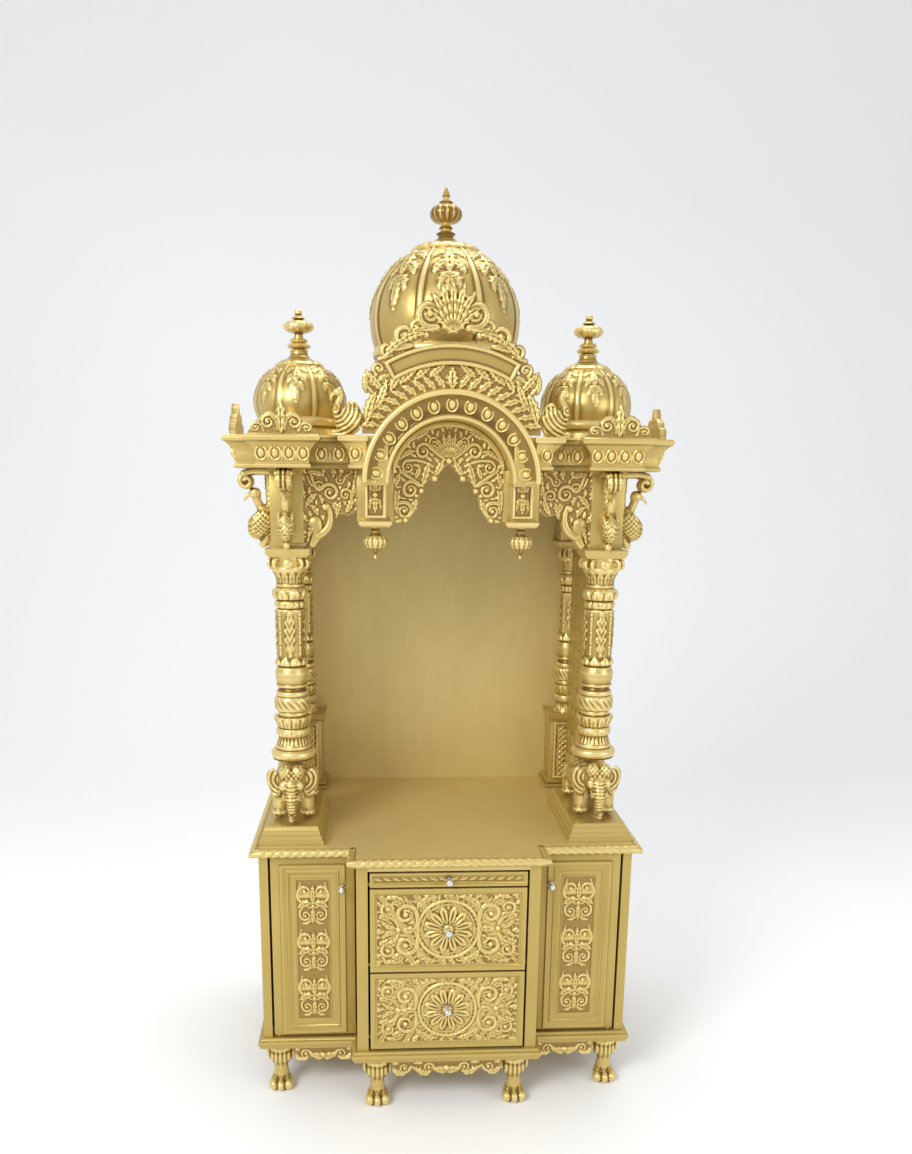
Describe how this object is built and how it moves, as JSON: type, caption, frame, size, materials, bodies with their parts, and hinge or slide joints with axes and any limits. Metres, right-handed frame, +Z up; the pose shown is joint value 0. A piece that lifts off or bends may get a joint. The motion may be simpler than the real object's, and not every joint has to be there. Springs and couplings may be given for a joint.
{
  "type": "home temple cabinet",
  "caption": "Carved home temple in gold-painted wood: three domes and an arch on pillars over a cupboard with doors and drawers.",
  "frame": {"origin": "under the middle of the whole piece, at floor level", "axes": "+Z up, the front with its doors and drawers faces -Y, +X is to the right seen from the front"},
  "size_m": [1.06, 0.714, 2.277],
  "materials": {
    "gold_carving": "satin gold paint over carved wood",
    "gold_board": "satin gold paint on flat boards",
    "chrome": "polished"
  },
  "bodies": {
    "root": {"paw_feet_front": "gold_carving", "paw_feet_centre": "gold_carving", "paw_feet_back": "gold_carving", "base_moulding": "gold_carving", "aprons": "gold_carving", "cupboard_floor": "gold_board", "cupboard_left_side": "gold_board", "cupboard_right_side": "gold_board", "cupboard_back": "gold_board", "left_divider": "gold_board", "right_divider": "gold_board", "drawer_runners": "gold_board", "table_top": "gold_board", "rope_edge": "gold_carving", "left_plinth": "gold_carving", "right_plinth": "gold_carving", "left_elephant": "gold_carving", "right_elephant": "gold_carving", "left_pillar": "gold_carving", "right_pillar": "gold_carving", "left_capital_block": "gold_carving", "right_capital_block": "gold_carving", "left_swan_brackets": "gold_carving", "right_swan_brackets": "gold_carving", "left_back_pillar": "gold_carving", "right_back_pillar": "gold_carving", "left_lattice": "gold_carving", "right_lattice": "gold_carving", "shrine_back": "gold_board", "arch_panel": "gold_carving", "left_spandrel": "gold_carving", "right_spandrel": "gold_carving", "pendants": "gold_carving", "front_cornice": "gold_carving", "side_cornices": "gold_carving", "roof_board": "gold_board", "arch_crest": "gold_carving", "cornice_swans": "gold_carving", "corner_crests": "gold_carving", "main_dome": "gold_carving", "main_finial": "gold_carving", "left_dome": "gold_carving", "right_dome": "gold_carving", "side_finials": "gold_carving"},
    "left_door": {"left_door": "gold_carving", "left_door_knob": "chrome"},
    "right_door": {"right_door": "gold_carving", "right_door_knob": "chrome"},
    "top_drawer": {"top_drawer": "gold_carving", "top_drawer_knob": "chrome"},
    "middle_drawer": {"middle_drawer": "gold_carving", "middle_drawer_knob": "chrome"},
    "bottom_drawer": {"bottom_drawer": "gold_carving", "bottom_drawer_knob": "chrome"}
  },
  "joints": [
    {"name": "left_door_hinge", "type": "hinge", "parent": "root", "child": "left_door", "pos_m": [-0.4325, -0.244, 0.41], "axis": [0, 0, -1], "range_deg": [0, 90]},
    {"name": "right_door_hinge", "type": "hinge", "parent": "root", "child": "right_door", "pos_m": [0.4325, -0.244, 0.41], "axis": [0, 0, 1], "range_deg": [0, 90]},
    {"name": "top_drawer_slide", "type": "slide", "parent": "root", "child": "top_drawer", "axis": [0, -1, 0], "range_m": [0, 0.32]},
    {"name": "middle_drawer_slide", "type": "slide", "parent": "root", "child": "middle_drawer", "axis": [0, -1, 0], "range_m": [0, 0.34]},
    {"name": "bottom_drawer_slide", "type": "slide", "parent": "root", "child": "bottom_drawer", "axis": [0, -1, 0], "range_m": [0, 0.34]}
  ]
}
